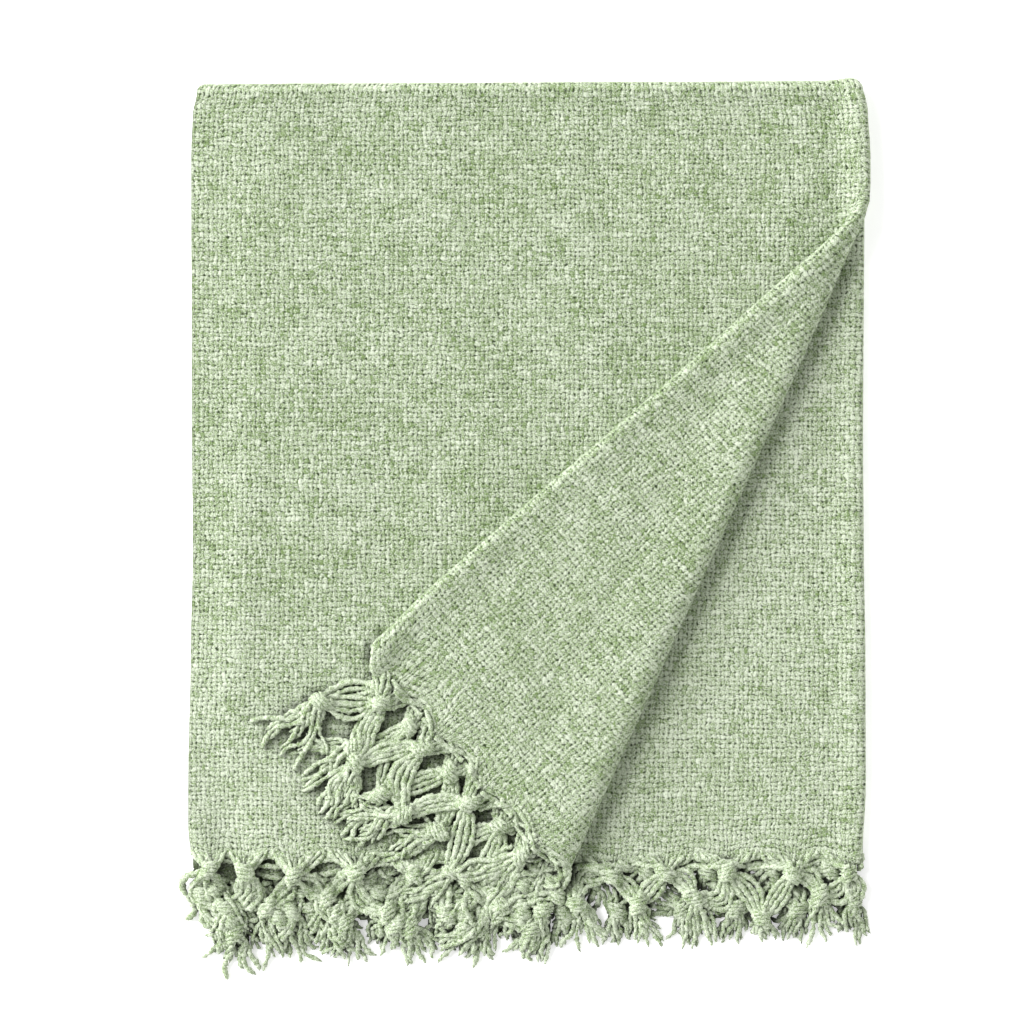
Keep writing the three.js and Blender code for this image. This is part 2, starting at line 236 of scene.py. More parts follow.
def loft(x, y):
    """How high the stack stands at a place, as a share of its plain height."""
    share = 1 - FRINGE_SINK * smooth_step(-y - FOLDED_LENGTH, 0, FRINGE_SINK_REACH)
    for right, down, across, along, turn, grow in SWELLS:
        cos, sin = math.cos(math.radians(turn)), math.sin(math.radians(turn))
        off_x, off_y = x - right, y + down
        far_across = (off_x * cos - off_y * sin) / across
        far_along = (off_x * sin + off_y * cos) / along
        share = share + grow * np.exp(-(far_across**2) - far_along**2)
    for turn, size, start in zip(wave_turns, wave_sizes, wave_starts):
        share = share + WAVE_HEIGHT * np.sin(size * (x * math.cos(turn) + y * math.sin(turn)) + start)
    return share


def unit(vectors):
    return vectors / np.linalg.norm(vectors, axis=-1, keepdims=True)


def layer_point(u, v, face=0.0):
    """A point of the cloth or its fringe, `u` from the side fold and `v` from the lower woven end."""
    round_the_fold = np.clip(u / SIDE_FOLD_ARC, -1, 1)[..., None] * math.pi / 2
    layer = 2 * (v > FOLDED_LENGTH) + (u > 0)
    inward = np.maximum(0, np.abs(u) - SIDE_FOLD_ARC)
    inside = inward * (1 - SELVEDGE_STAGGER[layer] / PAIR_WIDTH)
    to_end = smooth_step(np.abs(v - FOLDED_LENGTH), FOLDED_LENGTH - END_SLANT_REACH, FOLDED_LENGTH)
    slant = to_end * END_SLANT[layer] * inward / PAIR_WIDTH
    along = v + np.where(v > FOLDED_LENGTH, slant, -slant)
    probe = 0.00005
    outward = unit(pair_middle(inside - probe, along) - pair_middle(inside + probe, along))
    onward = unit(pair_middle(inside, along + probe) - pair_middle(inside, along - probe))
    frontward = unit(np.cross(onward, outward))
    reach = (half_spread(inside) + face)[..., None]
    point = pair_middle(inside, along)
    point = point - np.sin(round_the_fold) * reach * frontward + np.cos(round_the_fold) * reach * outward
    point[..., 2] = np.maximum(point[..., 2] * loft(point[..., 0], point[..., 1]), CLOTH_THICK / 2 + face)
    to_right = np.clip(1 + point[..., 0] / PAIR_WIDTH, 0, 1)
    lift = TOP_LIFT_LEFT + (TOP_LIFT_RIGHT - TOP_LIFT_LEFT) * to_right
    point[..., 1] += lift * smooth_step(point[..., 1], -TOP_LIFT_REACH, 0)
    return point


def drawn_in(u, v):
    """Where the nearest knot of each end pulls a place on the flat cloth."""
    for knots, side in zip(KNOTS, (-1, 1)):
        inward = v if side < 0 else CLOTH_LENGTH - v
        nearest = np.abs(u[..., None] - knots[:, 0]).argmin(axis=-1)
        off, out = u - knots[nearest, 0], knots[nearest, 1]
        near = np.exp(-((off / DRAWN_WIDTH) ** 2))
        crest, trough = CREST_SHARE * out - CREST_LESS, TROUGH_SHARE * out - TROUGH_LESS
        if side < 0:
            trough = trough + LOWER_FRONT_LESS * smooth_step(-u, LESS_FROM, LESS_FULLY_FROM)
        pull = 1 - smooth_step(inward, 0, DRAWN_DEPTH)
        u = u - GATHER * off * near * pull
        v = v + side * pull * (trough + (crest - trough) * near)
    corner_pull = 1 - smooth_step(CLOTH_LENGTH - v, 0, CORNER_DEPTH)
    v = v + CORNER_OUT * corner_pull * np.exp(-(((u - CORNER_AT) / CORNER_WIDTH) ** 2))
    return u, v


# The lines of the cloth's mesh, closer together round the folds. Both layers of the pair have the same ones
# across, which follow the slanting fold down the cloth.
TOP_ROLL_STEPS = 14
CORNER_ROLL_STEPS = 16
BEFORE_ROLL = 0.005
SETTLE_SHARES = np.array([0, 0.4, 1])
END_ROWS, LOWER_ROWS, UPPER_ROWS, FRINGE_ROWS = 9, 46, 36, 29
# They are closer again beyond this one, as the flap's fringe shades the cloth there.
UNDER_FRINGE = 1.245
LEFT_COLUMNS = 48
FLAP_COLUMNS = 38
SIDE_FOLD_COLUMNS = 14
LEAST_STEP = 0.0012
# Columns are even up to the first of these, and follow the slanting fold from the second on.
EVEN_UNTIL, SLANTING_FROM = 0.45, 0.70


def roll_stations(radius, rise, round_steps):
    round_part, slope, settle, _, start, _ = roll_shape(radius, rise)
    stops = [-start - BEFORE_ROLL, *(np.linspace(0, round_part, round_steps + 1) - start)]
    return np.array([*stops, *(round_part + slope + settle * SETTLE_SHARES - start)])


top_rows = roll_stations(TOP_ROLL_RADIUS, PAIR_PITCH, TOP_ROLL_STEPS) + FOLDED_LENGTH
end_rows = np.linspace(0, DRAWN_DEPTH, END_ROWS)
lower_rows = np.linspace(DRAWN_DEPTH, top_rows[0], LOWER_ROWS)[1:-1]
upper_rows = np.linspace(top_rows[-1], UNDER_FRINGE, UPPER_ROWS)[1:-1]
fringe_rows = np.linspace(UNDER_FRINGE, CLOTH_LENGTH - DRAWN_DEPTH, FRINGE_ROWS)[:-1]
last_rows = CLOTH_LENGTH - end_rows[::-1]
rows_v = np.concatenate([end_rows, lower_rows, top_rows, upper_rows, fringe_rows, last_rows])


def cloth_insides(v):
    down = max(0, v - FOLDED_LENGTH)
    line = (down - APEX_DOWN) * math.tan(CORNER_ANGLE) - APEX_X
    radius = corner_radius((down - APEX_DOWN) / math.cos(CORNER_ANGLE))
    roll = line - roll_stations(float(radius), PAIR_PITCH, CORNER_ROLL_STEPS) / ACROSS_CORNER[0]
    left = np.linspace(PAIR_WIDTH, roll[0], LEFT_COLUMNS + 1)[:-1]
    flap = roll[-1] * (1 - np.linspace(0, 1, FLAP_COLUMNS + 1)[1:])
    insides = np.concatenate([left, roll, flap])
    for i in range(len(insides) - 2, 0, -1):
        insides[i] = max(insides[i], insides[i + 1] + LEAST_STEP)
    even = np.linspace(PAIR_WIDTH, 0, len(insides) + 1)[:-1]
    return even + (insides - even) * smooth_step(v, EVEN_UNTIL, SLANTING_FROM)


def flat_grid(name, columns, rows, size=1):
    grid = bmesh.new()
    bmesh.ops.create_grid(grid, x_segments=columns, y_segments=rows, size=size)
    mesh = bpy.data.meshes.new(name)
    grid.to_mesh(mesh)
    grid.free()
    return mesh


def read_rows(parts, name):
    values = np.empty(len(parts) * 3)
    parts.foreach_get(name, values)
    return values.reshape(-1, 3)


side_fold = np.linspace(-SIDE_FOLD_ARC, SIDE_FOLD_ARC, SIDE_FOLD_COLUMNS + 1)[1:-1]
flat_u = []
for v in rows_v:
    insides = cloth_insides(v) + SIDE_FOLD_ARC
    flat_u.append(np.concatenate([-insides, side_fold, insides[::-1]]))
flat_u = np.array(flat_u)
flat_v = np.repeat(rows_v[:, None], flat_u.shape[1], axis=1)

last_row, last_column = flat_u.shape[0] - 1, flat_u.shape[1] - 1
cloth_mesh = flat_grid("throw_cloth_folded", last_column, last_row)
spots = read_rows(cloth_mesh.vertices, "co")
column, row = np.rint((spots[:, :2] + 1) / 2 * (last_column, last_row)).astype(int).T
u, v = flat_u[row, column], flat_v[row, column]
folded = layer_point(*drawn_in(u, v))

# The frame's cloth gives the place: its corner is on the outsides of the side fold and top fold.
FRAME_FOLD_REACH = 0.0082
_, cloth_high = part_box("throw_cloth")
outermost = layer_point(u, v, CLOTH_THICK / 2).max(axis=0)
PLACE = np.array([cloth_high.x - FRAME_FOLD_REACH, cloth_high.y + TOP_LIFT_RIGHT - outermost[1], 0])
cloth_mesh.vertices.foreach_set("co", (folded + PLACE).ravel())

corners = np.empty(len(cloth_mesh.loops), int)
cloth_mesh.loops.foreach_get("vertex_index", corners)
weave_map = cloth_mesh.uv_layers.new(name="flat_cloth")
weave_map.data.foreach_set("uv", np.stack([u, v], axis=-1)[corners].ravel())
cloth_mesh.shade_smooth()


def add_object(name, data):
    made = bpy.data.objects.new(name, data)
    bpy.context.scene.collection.objects.link(made)
    return made


cloth = add_object("chenille_cloth", cloth_mesh)
thicken = cloth.modifiers.new("thickness", "SOLIDIFY")
thicken.thickness = CLOTH_THICK
thicken.offset = 0
rim = cloth.modifiers.new("round_rim", "BEVEL")
rim.width = 0.0016
rim.segments = 3
rim.limit_method = "ANGLE"
rim.angle_limit = math.radians(50)

# The weave: yarns in mottled sage lie 4.45 mm apart each way, over one and under one. Their pile is short
# and soft, and the colour changes slowly along each yarn.
YARN_PITCH = 0.00445
PALE_YARN = (0.66, 0.725, 0.575, 1)
SAGE_YARN = (0.185, 0.272, 0.10, 1)
# The hollows between the yarns are darkened towards this colour: painted shade.
HOLLOW_SHADE = (0.026, 0.043, 0.014, 1)
# How much painted shade the cloth gets under the fringe.
CLOTH_BURIED_SHADE = 0.72
YARN_FINISH = {"Roughness": 0.95, "Specular IOR Level": 0.12, "Sheen Weight": 0.12, "Sheen Roughness": 0.5}
# Each pattern's scale per metre, its strength, and where a third value is given its detail.
WANDER_SCALE, WANDER, FUZZ_SCALE, FUZZ = 95.0, 1.3, 620.0, 0.9
PILE_SCALE, PILE = 900.0, 2.8
CLOUD, WIDE_CLOUD, HOLE = (38.0, 0.4), (13.0, 0.3), (260.0, 0.9, 1.0)
# The same along a yarn, with the scale per yarn's width, and how far on the next yarn reads it.
SLUB, DASH, WEFT_STREAK, WARP_STREAK = (0.5, -5.0), (1.0, 1.1), (0.16, 1.35), (0.16, 0.9)
NEXT_YARN = 0.73
# How fast a yarn's face falls away to its sides, how far it rises over others, and how softly they meet.
FALL_AWAY, RISE_OVER, SOFT_MEETING = 3.7, 0.5, 0.2
# The heights between which the painted shade in a hollow ends, and the paleness of the sage and the pale
# yarn.
HOLLOW, TONE = (0.52, 1.08), (-0.42, 0.42)
# Painted light: the half folded the other way, whose pile leans the other way along the cloth, is
# painted a little paler, and so is the left of the upper front layer near its end. They are from, to, and
# how much paler at both.
NAP_PAINTED_LIGHT, END_PAINTED_LIGHT, AT_LEFT = (0.60, 0.74, 0.08, 0.0), (1.18, 1.36, 0.0, 0.15), (-0.40, -0.50)
# At the selvedges' sides, where the wefts turn back, the colour is darkened: painted shade.
SELVEDGE_SHADE = 0.42
AT_SIDE = (CLOTH_WIDTH / 2 - 0.0012, CLOTH_WIDTH / 2 - 0.0002)
WEAVE_RELIEF, TUFT_RELIEF, PILE_RELIEF = 0.0012, 0.0008, 0.0004


def with_nodes(made):
    made.use_nodes = True
    return made, made.node_tree


weave, tree = with_nodes(bpy.data.materials.new("chenille_weave"))


def add_node(kind, values=(), **settings):
    """Adds a node. A value is a number, a colour or an output to link."""
    made = tree.nodes.new(kind)
    for name, setting in settings.items():
        setattr(made, name, setting)
    for socket, value in dict(values).items():
        if isinstance(value, bpy.types.NodeSocket):
            tree.links.new(value, made.inputs[socket])
        else:
            made.inputs[socket].default_value = value
    return made


def calc(operation, first, second=0.0):
    return add_node("ShaderNodeMath", {0: first, 1: second}, operation=operation).outputs[0]


def add_up(*values):
    total = values[0]
    for value in values[1:]:
        total = calc("ADD", total, value)
    return total


def times(first, second):
    return calc("MULTIPLY", first, second)


def around_zero(value, size):
    """Turns a noise around 0.5 into one of that size around zero."""
    return times(calc("SUBTRACT", value, 0.5), size)


def noise(vector, scale, detail=2.0, output="Fac"):
    values = {"Vector": vector, "Scale": scale, "Detail": detail}
    return add_node("ShaderNodeTexNoise", values).outputs[output]


def pattern(vector, scale, strength, detail=2.0):
    return around_zero(noise(vector, scale, detail), strength)


def rescale(value, low, high, to_low=0.0, to_high=1.0):
    """Takes a value from one range to another, and keeps it there."""
    ends = {"From Min": low, "From Max": high, "To Min": to_low, "To Max": to_high}
    return add_node("ShaderNodeMapRange", {"Value": value, **ends}).outputs[0]


def mix_colours(share, first, second, how="MIX"):
    values = {0: share, 6: first, 7: second}
    return add_node("ShaderNodeMix", values, data_type="RGBA", blend_type=how).outputs[2]


def separate(vector):
    return add_node("ShaderNodeSeparateXYZ", {0: vector}).outputs


flat_place = add_node("ShaderNodeUVMap", uv_map="flat_cloth").outputs[0]
object_place = add_node("ShaderNodeTexCoord").outputs["Object"]
flat = separate(flat_place)
wander = separate(noise(flat_place, WANDER_SCALE, 1.0, "Color"))
fuzz = separate(noise(flat_place, FUZZ_SCALE, 1.0, "Color"))


def yarn_count(axis):
    """How many yarns from the middle a place is. They wander, and their pile is ragged."""
    ragged = add_up(around_zero(wander[axis], WANDER), around_zero(fuzz[axis], FUZZ))
    return add_up(calc("DIVIDE", flat[axis], YARN_PITCH), ragged)


warp_count, weft_count = yarn_count(0), yarn_count(1)
warp_number, weft_number = calc("FLOOR", warp_count), calc("FLOOR", weft_count)
off_warp = calc("SUBTRACT", calc("FRACT", warp_count), 0.5)
off_weft = calc("SUBTRACT", calc("FRACT", weft_count), 0.5)
over = calc("COSINE", times(add_up(warp_number, weft_number), math.pi))


def along_yarn(number, count, seed, scale, strength):
    """A pattern that changes from yarn to yarn, and slowly along each."""
    place = {"X": times(number, NEXT_YARN), "Y": times(count, scale), "Z": seed}
    return pattern(add_node("ShaderNodeCombineXYZ", place).outputs[0], 1.0, strength, 1.0)


def yarn_height(side, off_side, off_along, slub):
    """The height of a yarn's face, which is round, and goes over and under its neighbours."""
    wave = times(calc("COSINE", times(off_along, math.pi)), over)
    fall = times(times(off_side, off_side), add_up(FALL_AWAY, slub))
    return add_up(times(times(wave, side), RISE_OVER), calc("SQRT", calc("SUBTRACT", 1.0, fall)))


warp_height = yarn_height(1.0, off_warp, off_weft, along_yarn(warp_number, weft_count, 3.0, *SLUB))
weft_height = yarn_height(-1.0, off_weft, off_warp, along_yarn(weft_number, warp_count, 6.0, *SLUB))
heights = {0: warp_height, 1: weft_height, 2: SOFT_MEETING}
height = add_node("ShaderNodeMath", heights, operation="SMOOTH_MAX").outputs[0]
warp_on_top = calc("GREATER_THAN", warp_height, weft_height)


def mottle(number, count, seed, streak):
    """How pale a yarn is, in long streaks along it with shorter dashes."""
    streaks = along_yarn(number, count, seed, *streak)
    return add_up(streaks, along_yarn(number, count, seed + 20.0, *DASH))


mottles = {
    0: warp_on_top,
    2: mottle(weft_number, warp_count, 9.0, WEFT_STREAK),
    3: mottle(warp_number, weft_count, 1.0, WARP_STREAK),
}
shade = add_node("ShaderNodeMix", mottles, data_type="FLOAT").outputs[0]
cloudy = add_up(pattern(flat_place, *CLOUD), pattern(flat_place, *WIDE_CLOUD))
# Painted light: paler on the half folded the other way, and on the upper front layer's left near its end.
painted_light_at_left = times(rescale(flat[1], *END_PAINTED_LIGHT), rescale(flat[0], *AT_LEFT))
cloudy_and_painted_light = add_up(cloudy, add_up(rescale(flat[1], *NAP_PAINTED_LIGHT), painted_light_at_left))


def pile_colour(paleness, pile):
    """The yarn's colour, paler at the pile's tips."""
    paleness = add_up(paleness, around_zero(pile, PILE))
    return mix_colours(rescale(paleness, *TONE), SAGE_YARN, PALE_YARN)


def darken(colour, share, shade):
    return mix_colours(1.0, colour, calc("SUBTRACT", 1.0, times(share, shade)), "MULTIPLY")


def set_sockets(node, values):
    for socket, value in values.items():
        node.inputs[socket].default_value = value


def finish_yarn(colour, buried_shade, relief):
    """Chenille is matt with a slight sheen. Deep under the fringe its colour gets painted shade."""
    painted_shade = add_node("ShaderNodeAttribute", attribute_name="painted_shade").outputs["Fac"]
    bump = add_node("ShaderNodeBump", {"Height": relief, "Strength": 0.9, "Distance": 1.0}).outputs[0]
    shader = tree.nodes["Principled BSDF"]
    set_sockets(shader, YARN_FINISH)
    tree.links.new(darken(colour, painted_shade, buried_shade), shader.inputs["Base Color"])
    tree.links.new(bump, shader.inputs["Normal"])


pile = noise(object_place, PILE_SCALE)
# Painted shade: the hollows between the yarns are darkened, some more than others.
hollow = rescale(add_up(height, pattern(flat_place, *HOLE)), *HOLLOW)
colour = mix_colours(hollow, HOLLOW_SHADE, pile_colour(add_up(shade, cloudy_and_painted_light), pile))
# Painted shade on the selvedges' sides.
colour = darken(colour, rescale(calc("ABSOLUTE", flat[0]), *AT_SIDE), SELVEDGE_SHADE)
relief = add_up(times(height, WEAVE_RELIEF), times(pile, PILE_RELIEF))
finish_yarn(colour, CLOTH_BURIED_SHADE, relief)
cloth_mesh.materials.append(weave)

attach(cloth, "root")
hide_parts("throw_cloth")

# The fringes: the warp yarns run on past each woven end. About thirteen at a time are knotted together, half
# of each bundle is knotted again with half of the next, and the tails are cut. The flap's fringe lies almost
# straight, and the others are rucked up on the floor.
YARN_RADIUS = 0.0021
YARNS = round(CLOTH_WIDTH / YARN_PITCH)
LINK = 0.0030
# How far out the second knots and the tips are: at the lower end, the upper end's flat part, and the flap.
# The last two pass into each other between these distances from the side fold.
REACHES = np.array([(0.047, 0.082), (0.048, 0.093), (0.086, 0.150)])
FLAP_FROM, FLAP_TO = 0.310, 0.250
LOWER_FRONT = 0
chance = np.random.default_rng(44)


def astray(size):
    return chance.normal(0, size)


steps = np.linspace(0, 1, 26)
arch = np.sin(math.pi * steps)
ANY_PHASE = (0, 6.3)

KNOT_RADIUS, KNOT_CORE = 0.0064, 0.0055
# A knot's way is read at places before, behind and beside it, and turned a little by chance.
PROBES = np.array([(0, 0, -0.004, 0.004), (-0.004, 0.004, 0, 0)])
NEAR_SIDE_FOLD = 0.012
KNOT_TURN = 0.28
# A yarn's run to its knot starts inside the cloth's edge, and curves in fully over this way across. The
# knot holds its yarns so wide.
WOVEN_BACK, FULL_SWING = 0.006, 0.026
HELD_WIDE, LOWER_FRONT_HELD_WIDE = 0.0045, 0.015
# A half bundle bows aside, rises and spreads. The lower front ones have more yarns, wider apart.
BUNDLE_YARNS, TAILS, MORE_IN_FRONT = 4, 5, 2
BUNDLE_LEVEL = 0.0021
BUNDLE_BOW, BUNDLE_RISE, YARN_RISE = 0.010, 0.004, 0.001
BUNDLE_SPREADS, BUNDLE_PACKED = (0.0055, 0.0100), 0.0012
LOWER_FRONT_SPREAD, LOWER_FRONT_PACKED = 0.009, 0.008
# A tail bends and waves by such angles, and reaches this share of the way to the tips.
TAIL_BEND, TAIL_WAVE, TAIL_WAVES = 0.45, 0.42, 7
TAIL_LENGTHS = (0.62, 1.18)
TAILS_APART = 0.004


def reaches(end, across):
    straight = smooth_step(-abs(across), -FLAP_FROM, -FLAP_TO) if end else 0
    return REACHES[end] + (REACHES[2] - REACHES[end]) * straight


def fringe_spot(end, across, out):
    """Where a place is before it settles, `across` from the side fold and `out` from the end."""
    across, out = np.broadcast_arrays(np.asarray(across, float), out)
    return layer_point(across, np.where(end, CLOTH_LENGTH + out, -out)) + PLACE


def drawn_edge(end, across):
    """Where a woven end is drawn to: across from the side fold, and out from the straight end."""
    straight = CLOTH_LENGTH * end
    drawn, drawn_v = drawn_in(across, np.full(len(across), straight))
    return drawn, (drawn_v - straight) * (1 if end else -1)


def piece_at(end, across):
    return 2 * end + int(across > 0)


def points_along(path, run, stops):
    return np.stack([np.interp(stops, run, path[:, axis]) for axis in range(3)], axis=-1)


class Knot:
    """Its place, the way its yarns leave it, and the way across that, towards the back selvedge."""

    def __init__(self, end, across, out):
        self.piece, self.across = piece_at(end, across), across
        self.tip = reaches(end, across)[1] - out
        self.spot = fringe_spot(end, [across], out)[0]
        off_fold = math.copysign(max(abs(across), NEAR_SIDE_FOLD), across)
        behind, ahead, left, right = fringe_spot(end, off_fold + PROBES[0], out + PROBES[1])
        self.way = unit((ahead - behind)[:2])
        turn = astray(KNOT_TURN)
        cos, sin = math.cos(turn), math.sin(turn)
        self.way = self.way @ np.array([[cos, sin], [-sin, cos]])
        self.aside = np.array([-self.way[1], self.way[0]])
        self.aside *= math.copysign(1, self.aside @ (right - left)[:2])


class Strand:
    """A run of yarn: its links, the knots that hold it, and its size beside a plain yarn's."""

    def __init__(self, path, knots, piece, size, woven_in=0, cut=False):
        run = np.concatenate([[0], np.cumsum(np.linalg.norm(np.diff(path, axis=0), axis=1))])
        stops = np.linspace(0, run[-1], max(4, round(run[-1] / LINK) + 1))
        self.links = points_along(path, run, stops)
        self.knots, self.piece, self.size, self.woven_in, self.cut = knots, piece, size, woven_in, cut


def run_in(end, place, packed, level, knot_across, knot_out):
    """A warp yarn's path from inside the cloth to its place in the first knot."""
    (start,), (edge,) = drawn_edge(end, np.array([place]))
    held_wide = LOWER_FRONT_HELD_WIDE if piece_at(end, place) == LOWER_FRONT else HELD_WIDE
    stop = knot_across + packed * held_wide
    swing = min(1, abs(stop - start) / FULL_SWING)
    across = start + (stop - start) * np.sin(steps * math.pi / 2)
    out = edge + (knot_out - edge) * ((1 - swing) * steps + swing * (1 - np.cos(steps * math.pi / 2)))
    path = fringe_spot(end, np.append(place, across), np.append(edge - WOVEN_BACK, out))
    path[1:, 2] += level * steps
    return path


def bundle(from_knot, to_knot):
    """Half of a knot's yarns on their way to the next, on two levels."""
    gap = to_knot.spot - from_knot.spot
    sideways = unit(np.array([gap[1], -gap[0], 0]))
    bow, rise = astray(BUNDLE_BOW), abs(astray(BUNDLE_RISE))
    number, spread, packed = BUNDLE_YARNS, chance.uniform(*BUNDLE_SPREADS), BUNDLE_PACKED
    if from_knot.piece == LOWER_FRONT:
        number += MORE_IN_FRONT
        spread, packed = LOWER_FRONT_SPREAD, LOWER_FRONT_PACKED
    for i, place in enumerate(np.linspace(-1, 1, number)):
        belly = (bow + place * spread) * arch + place * packed
        path = from_knot.spot + np.outer(steps, gap) + np.outer(belly, sideways)
        path[:, 2] += (rise + astray(YARN_RISE)) * arch - BUNDLE_LEVEL * (-1) ** i
        yield path


def tail(knot, place, level, lean, curl=0):
    """A cut end, which leaves its knot at a lean from straight out."""
    bend, wave = curl + astray(TAIL_BEND), astray(TAIL_WAVE)
    heading = lean + bend * steps + wave * np.sin(TAIL_WAVES * steps + chance.uniform(*ANY_PHASE))
    gone = knot.tip * chance.uniform(*TAIL_LENGTHS) / len(steps)
    path = np.zeros((len(steps), 3)) + knot.spot
    path[:, :2] += np.outer(np.cumsum(np.cos(heading)) * gone, knot.way)
    path[:, :2] += np.outer(np.cumsum(np.sin(heading)) * gone + place * TAILS_APART, knot.aside)
    path[:, 2] += level
    return path


# How thick each kind of yarn is beside a plain one, and how much that varies. A few stand for many.
RUN_SIZE, BUNDLE_SIZE, TAIL_SIZE, SELVEDGE_TAIL_SIZE = (1.08, 0.06), (1.3, 0.12), (1.15, 0.12), (1.3, 0.1)
EDGE_WEFT_SIZE, LOOSE_WEFT_SIZE = 1.1, 1.15
SECOND_ASIDE, SECOND_OUT = 0.003, 0.005
RUN_LEVEL, RUN_UNEVEN, SELVEDGE_UNEVEN = 0.0014, 0.0003, 0.0015
# How the tails fan out, lean on from their bundle's side, stray, and curl in at the selvedges.
TAIL_FAN, SELVEDGE_FAN, TAIL_LEAN, TAIL_STRAY, SELVEDGE_CURL = 0.35, 0.15, 0.2, 0.16, 0.6
# They lean away from the side fold near it.
FOLD_LEAN, FOLD_LEAN_REACH = 0.35, 0.03
EDGE_WEFT_OUT, EDGE_WEFT_WAVE = 0.0008, 0.0010
LOOSE_HANG, LOOSE_LIFT, LOOSE_LEAST_OUT, LOOSE_LESS, LOOSE_ROUND = (0.002, 0.009), 0.007, 0.002, 0.001, 0.7
LINKS_WOVEN_IN, ALL_WOVEN_IN = 2, 1000

yarn_places = (np.arange(YARNS) + 0.5) * YARN_PITCH - CLOTH_WIDTH / 2
all_knots, strands = [], []
for end, rows in enumerate(KNOTS):
    borders = np.concatenate([[-1], (rows[1:, 0] + rows[:-1, 0]) / 2, [1]])
    first = [Knot(end, across, out) for across, out in rows]
    second = []
    for border in borders[1:-1]:
        across = border + astray(SECOND_ASIDE)
        second.append(Knot(end, across, reaches(end, across)[0] + astray(SECOND_OUT)))
    all_knots += first + second
    for k, knot in enumerate(first):
        mine = yarn_places[(yarn_places > borders[k]) & (yarn_places < borders[k + 1])]
        for i, (place, packed) in enumerate(zip(mine, np.linspace(-1, 1, len(mine)))):
            level = (RUN_LEVEL if i % 2 else -RUN_LEVEL) + astray(RUN_UNEVEN)
            path, size = run_in(end, place, packed, level, *rows[k]), chance.normal(*RUN_SIZE)
            strands.append(Strand(path, [knot], knot.piece, size, woven_in=LINKS_WOVEN_IN))
        for side, target in ((-1, k - 1), (1, k)):
            if not 0 <= target < len(second):
                for place in np.linspace(-1, 1, BUNDLE_YARNS - 1):
                    level = astray(SELVEDGE_UNEVEN)
                    lean, curl = place * SELVEDGE_FAN - side * TAIL_LEAN, -side * SELVEDGE_CURL
                    path, size = tail(knot, place, level, lean, curl), chance.normal(*SELVEDGE_TAIL_SIZE)
                    strands.append(Strand(path, [knot], knot.piece, size, cut=True))
                continue
            onward = second[target]
            for path in bundle(knot, onward):
                strands.append(Strand(path, [knot, onward], knot.piece, chance.normal(*BUNDLE_SIZE)))
            near_fold = math.exp(-((onward.across / FOLD_LEAN_REACH) ** 2))
            off_fold = FOLD_LEAN * near_fold * math.copysign(1, onward.across)
            for place in np.linspace(-1, 1, TAILS + MORE_IN_FRONT * (onward.piece == LOWER_FRONT)):
                lean = -place * TAIL_FAN + side * TAIL_LEAN + off_fold + astray(TAIL_STRAY)
                level = BUNDLE_LEVEL * chance.choice([-1, 1])
                path, size = tail(onward, place, level, lean), chance.normal(*TAIL_SIZE)
                strands.append(Strand(path, [onward], onward.piece, size, cut=True))

    # The last two wefts: one along the cloth's edge, and a looser one from knot to knot.
    for (left, left_out), (right, right_out) in zip(rows[:-1], rows[1:]):
        across = left + (right - left) * steps
        drawn, edge = drawn_edge(end, across)
        piece = piece_at(end, across.mean())
        path = fringe_spot(end, drawn, edge + EDGE_WEFT_OUT)
        path[:, 2] += EDGE_WEFT_WAVE * np.sin(math.pi * across / YARN_PITCH)
        strands.append(Strand(path, [], piece, EDGE_WEFT_SIZE, woven_in=ALL_WOVEN_IN))
        if left < 0 < right:
            continue
        crest = CREST_SHARE * (left_out * (1 - steps) + right_out * steps) - LOOSE_LESS
        hang = (crest - edge - chance.uniform(*LOOSE_HANG)) * arch**LOOSE_ROUND
        path = fringe_spot(end, across, np.maximum(edge + LOOSE_LEAST_OUT, crest - hang))
        path[:, 2] += LOOSE_LIFT
        strands.append(Strand(path, [], piece, LOOSE_WEFT_SIZE, woven_in=LINKS_WOVEN_IN))

# The strands settle: each link falls a little at a time, keeps its length from the next, and is pushed off
# the strands, knots, cloth and floor that it touches.
FALL_STEPS = 140
FALL, FALL_EASES = 0.00035, 2.5
THICKNESS, LOOK_BEYOND, LOOK_EVERY = 0.0038, 0.0012, 5
KNOT_REACH, KNOT_LOOK_BEYOND, KNOT_LOOK_EVERY = KNOT_RADIUS + 0.0014, 0.005, 14
KNOTS_APART, KNOTS_NEAR = 2.1 * KNOT_RADIUS, 0.02
# Shares of each gap or overlap that are made good in one step.
HOME_PULL, KNOT_HOME_PULL = 0.012, 0.04
STRAND_PUSH, KNOT_YIELD, KNOT_PUSH = 0.4, 0.01, 0.3
BEND_FIRMNESS, LENGTH_FIRMNESS = 0.25, 0.9
SAME_STRAND_LINKS = 3
# How many layers of cloth lie under each piece's strands, and the layers in their order from the floor up.
LAYERS_UNDER = np.array([0, 1, 3, 2])
LAYERS_UP = [0, 1, 3, 2]
LAYER_PITCH = 2 * HALF_PITCH
ON_FLAP_ABOVE = 3.9 * LAYER_PITCH
ENDS_FROM, ENDS_TO = -0.005, 0.001
# How far the fringes under each piece hold it up, off and on the flap.
HELD_UP = np.array([0, 0.007, 0.008, 0.005])
HELD_UP_ON_FLAP = np.array([0, 0.007, 0, 0.0035])
TAIL_COMES_DOWN = 0.9

counts = np.array([len(strand.links) for strand in strands])
starts = np.concatenate([[0], np.cumsum(counts)[:-1]])
spots = np.concatenate([strand.links for strand in strands])
owner = np.repeat(np.arange(len(strands)), counts)
order = np.arange(len(spots)) - starts[owner]
knot_spots = np.array([knot.spot for knot in all_knots])
home, knot_home = spots.copy(), knot_spots.copy()


def of_strand(name):
    return np.array([getattr(strand, name) for strand in strands])[owner]


